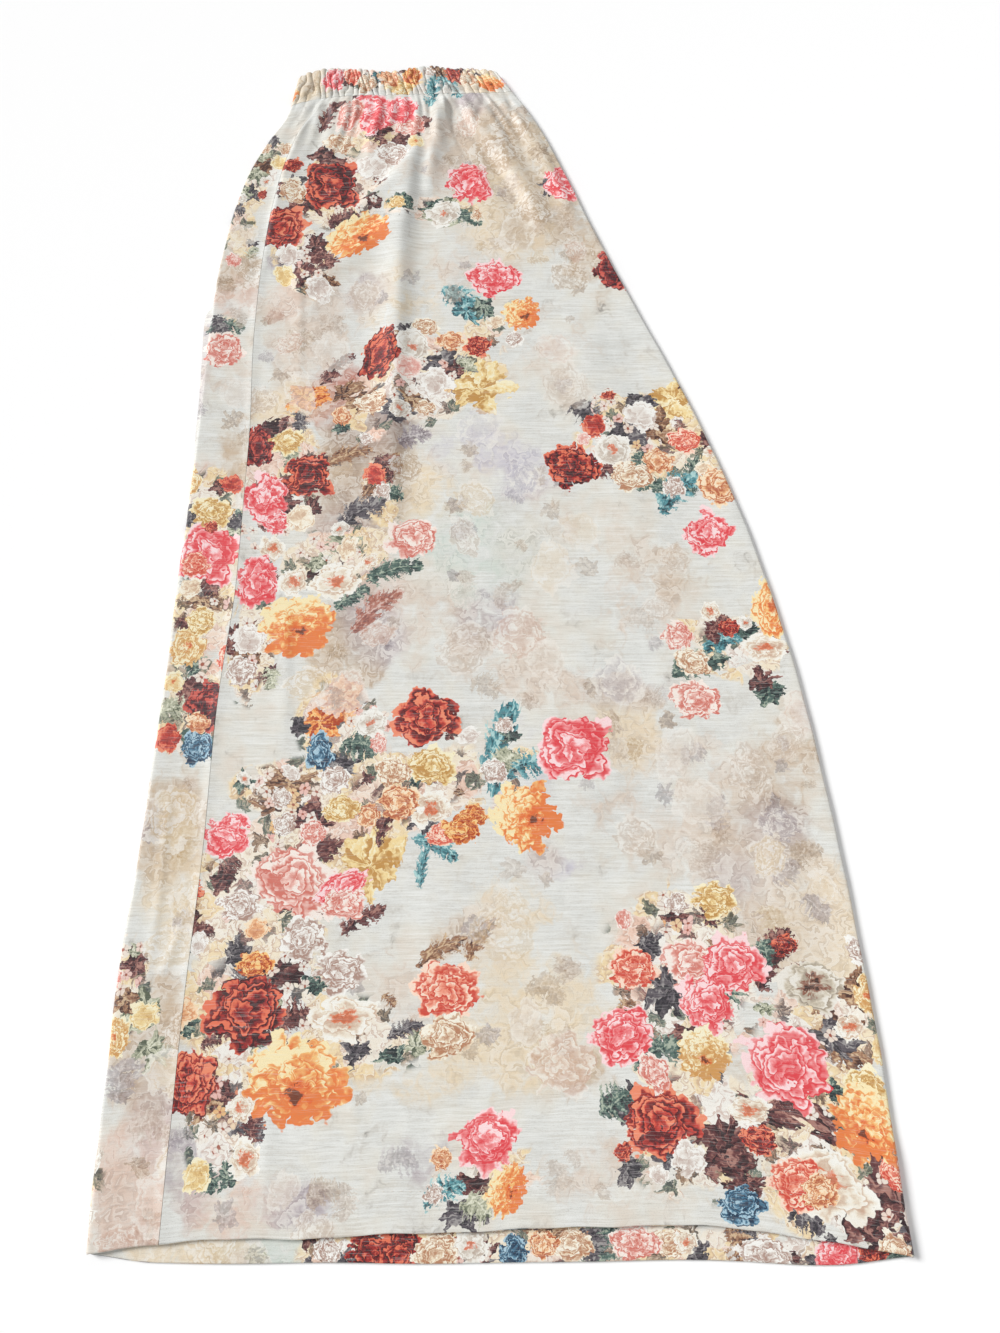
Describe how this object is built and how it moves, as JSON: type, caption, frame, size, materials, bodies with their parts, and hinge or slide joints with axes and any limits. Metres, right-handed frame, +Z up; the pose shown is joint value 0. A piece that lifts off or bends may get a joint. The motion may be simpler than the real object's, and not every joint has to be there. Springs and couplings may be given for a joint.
{
  "type": "maxi skirt",
  "caption": "Pull-on flared maxi skirt laid flat, with a gathered elastic waistband and a turned-up hem.",
  "frame": {"origin": "below the middle of the skirt's box, on the surface that it lies on", "axes": "+Y from the hem to the waistband, +X to the right as seen from above with the front uppermost, +Z up off the surface"},
  "size_m": [0.575, 1.0836, 0.0072],
  "materials": {
    "printed_satin": "slubbed satin, pale ground with a painterly flower print, soft sheen",
    "gathered_satin": "the same printed satin, gathered over elastic",
    "turned_satin": "the same printed satin, folded up inside as a hem"
  },
  "bodies": {
    "root": {"front_panel": "printed_satin", "back_panel": "printed_satin", "waistband_front": "gathered_satin", "waistband_back": "gathered_satin", "front_hem_turnup": "turned_satin", "back_hem_turnup": "turned_satin"}
  },
  "joints": []
}
